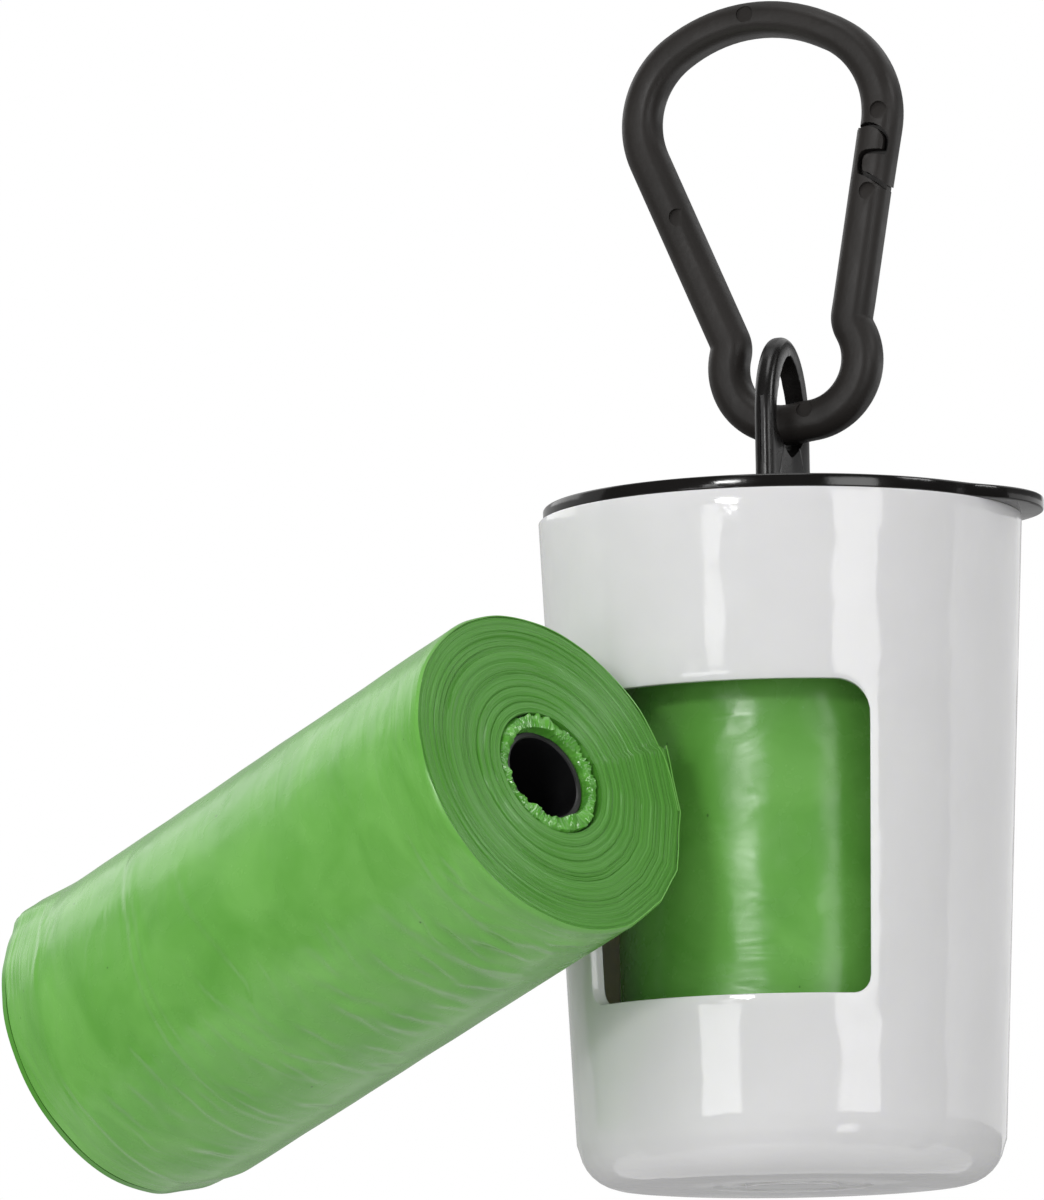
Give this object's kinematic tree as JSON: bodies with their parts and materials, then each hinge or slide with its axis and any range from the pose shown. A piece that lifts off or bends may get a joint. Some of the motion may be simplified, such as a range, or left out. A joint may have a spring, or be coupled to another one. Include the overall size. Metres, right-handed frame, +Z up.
{
  "type": "dog poop bag dispenser",
  "caption": "Round canister for a roll of dog waste bags, with a side window, a press-in lid with a thumb tab and loop, a snap hook, and a spare roll leaning on it.",
  "frame": {"origin": "middle of the canister's underside, on the surface it stands on", "axes": "+Z up along the canister's axis; the window faces -Y; the lid's thumb tab points near +X; the loop's hole runs along X"},
  "size_m": [0.0957, 0.075, 0.114],
  "materials": {
    "shell": "gloss, pale grey-white",
    "lid_plastic": "gloss black",
    "hook_plastic": "matt charcoal black",
    "core_plastic": "matt black",
    "film": "satin green film in many layers"
  },
  "bodies": {
    "canister": {"canister": "shell"},
    "lid": {"lid": "lid_plastic"},
    "hook": {"hook_frame": "hook_plastic"},
    "gate": {"hook_gate": "hook_plastic"},
    "roll": {"roll_core": "core_plastic", "roll_first_bag": "film", "roll_bags": "film", "roll_outer_bag": "film"},
    "spare_roll": {"spare_core": "core_plastic", "spare_first_bag": "film", "spare_bags": "film", "spare_outer_bag": "film"}
  },
  "joints": [
    {"name": "lid_lift", "type": "slide", "parent": "canister", "child": "lid", "axis": [0, 0, 1], "range_m": [0, 0.07]},
    {"name": "hook_swing", "type": "hinge", "parent": "lid", "child": "hook", "pos_m": [0.0004, 0.0017, 0.07301], "axis": [1, 0, 0], "range_deg": [-100, 100]},
    {"name": "gate_open", "type": "hinge", "parent": "hook", "child": "gate", "pos_m": [0.00742, 0.0017, 0.08465], "axis": [0, -1, 0], "range_deg": [0, 24], "stiffness_Nm_per_rad": 0.01},
    {"name": "roll_spin", "type": "hinge", "parent": "canister", "child": "roll", "pos_m": [0, 0, 0.03235], "axis": [0, 0, 1], "continuous": true},
    {"name": "spare_roll_lift", "type": "slide", "parent": "canister", "child": "spare_roll", "axis": [-0.3803, -0.8306, 0.4067], "range_m": [0, 0.06]}
  ]
}
